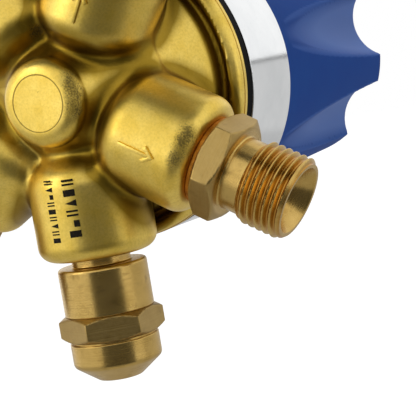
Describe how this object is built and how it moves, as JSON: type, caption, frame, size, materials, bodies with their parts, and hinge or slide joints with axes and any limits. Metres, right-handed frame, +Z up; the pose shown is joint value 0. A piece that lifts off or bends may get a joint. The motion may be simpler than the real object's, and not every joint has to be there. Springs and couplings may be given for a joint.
{
  "type": "argon flowmeter regulator",
  "caption": "Gas pressure regulator with a five-boss brass body, scalloped adjusting knob, two dial gauges, relief valve, outlet nipple and inlet union nut.",
  "frame": {"origin": "centre of the mouth of the inlet union nut, on its axis", "axes": "+Z up, main axis along Y with the knob facing -Y and the hub facing +Y, inlet on the +X side"},
  "size_m": [0.1328, 0.1199, 0.145],
  "materials": {
    "forged_brass": "satin forged",
    "turned_brass": "turned",
    "copper": "annealed",
    "chrome_plate": "plated and brushed",
    "blue_plastic": "satin moulded",
    "black_rubber": "glossy moulded",
    "diaphragm_rubber": "fabric reinforced",
    "steel": "zinc plated",
    "spring_steel": "oiled",
    "nylon": "moulded",
    "sintered_bronze": "sintered",
    "case_black": "black lacquer",
    "dial_white": "printed",
    "pointer_black": "painted",
    "clear_lens": "clear"
  },
  "bodies": {
    "regulator": {"body": "forged_brass", "seam_ring": "black_rubber", "bonnet": "chrome_plate", "thrust_washer": "steel", "range_spring": "spring_steel", "slip_ring": "steel", "diaphragm": "diaphragm_rubber", "valve_housing": "turned_brass", "valve_spring": "spring_steel", "outlet_nipple": "turned_brass", "outlet_washer": "copper", "flow_orifice": "turned_brass", "relief_body": "turned_brass", "relief_cap": "turned_brass", "relief_spring": "spring_steel", "inlet_stem": "turned_brass", "inlet_washer": "copper", "inlet_filter": "sintered_bronze", "inlet_seal": "nylon", "contents_socket": "turned_brass", "contents_washer": "copper", "contents_case": "chrome_plate", "contents_lens": "clear_lens", "contents_bezel": "chrome_plate", "contents_dial": "dial_white", "contents_movement_frame": "turned_brass", "contents_bourdon_tube": "turned_brass", "contents_link": "steel", "flow_socket": "turned_brass", "flow_washer": "copper", "flow_case": "chrome_plate", "flow_lens": "clear_lens", "flow_bezel": "chrome_plate", "flow_dial": "dial_white", "flow_movement_frame": "turned_brass", "flow_bourdon_tube": "turned_brass", "flow_link": "steel"},
    "adjuster": {"knob": "blue_plastic", "knob_cap": "blue_plastic", "knob_screw": "steel", "adjusting_screw": "steel", "retaining_ring": "steel"},
    "spring_nut": {"spring_nut": "turned_brass"},
    "valve": {"valve_poppet": "turned_brass", "valve_seat_disc": "nylon", "push_pin": "steel", "diaphragm_plate": "turned_brass", "diaphragm_pad": "turned_brass"},
    "relief_poppet": {"relief_poppet": "turned_brass", "relief_seal": "black_rubber"},
    "inlet_nut": {"inlet_nut": "turned_brass"},
    "contents_sector": {"contents_sector": "turned_brass"},
    "contents_pointer": {"contents_pointer": "pointer_black", "contents_pointer_shaft": "steel"},
    "flow_sector": {"flow_sector": "turned_brass"},
    "flow_pointer": {"flow_pointer": "pointer_black", "flow_pointer_shaft": "steel"}
  },
  "joints": [
    {"name": "knob_turn", "type": "hinge", "parent": "regulator", "child": "adjuster", "pos_m": [-0.06062, 0, 0.035], "axis": [0, 1, 0], "range_deg": [0, 1800]},
    {"name": "spring_nut_slide", "type": "slide", "parent": "regulator", "child": "spring_nut", "axis": [0, 1, 0], "range_m": [0, 0.0075], "deforming": ["range_spring"]},
    {"name": "valve_lift", "type": "slide", "parent": "regulator", "child": "valve", "axis": [0, 1, 0], "range_m": [0, 0.0008], "stiffness_N_per_m": 2000, "deforming": ["valve_spring", "diaphragm"]},
    {"name": "relief_lift", "type": "slide", "parent": "regulator", "child": "relief_poppet", "axis": [0, 0, -1], "range_m": [0, 0.001], "stiffness_N_per_m": 2000, "deforming": ["relief_spring"]},
    {"name": "inlet_nut_turn", "type": "hinge", "parent": "regulator", "child": "inlet_nut", "pos_m": [0, 0, 0], "axis": [0.866, 0, -0.5], "continuous": true},
    {"name": "contents_sector_turn", "type": "hinge", "parent": "regulator", "child": "contents_sector", "pos_m": [-0.03302, 0, 0.08281], "axis": [0, -1, 0], "range_deg": [0, 38.57], "stiffness_Nm_per_rad": 0.002},
    {"name": "contents_pointer_turn", "type": "hinge", "parent": "regulator", "child": "contents_pointer", "pos_m": [-0.02662, 0, 0.09389], "axis": [0, 1, 0], "range_deg": [0, 270]},
    {"name": "flow_sector_turn", "type": "hinge", "parent": "regulator", "child": "flow_sector", "pos_m": [-0.08822, 0, 0.08281], "axis": [0, -1, 0], "range_deg": [0, 38.57], "stiffness_Nm_per_rad": 0.002},
    {"name": "flow_pointer_turn", "type": "hinge", "parent": "regulator", "child": "flow_pointer", "pos_m": [-0.09462, 0, 0.09389], "axis": [0, 1, 0], "range_deg": [0, 270]}
  ],
  "couplings": [
    {"joint": "spring_nut_slide", "follows": "knob_turn", "m_per_rad": 0.00023873},
    {"joint": "contents_pointer_turn", "follows": "contents_sector_turn", "ratio": 7},
    {"joint": "flow_pointer_turn", "follows": "flow_sector_turn", "ratio": 7}
  ]
}
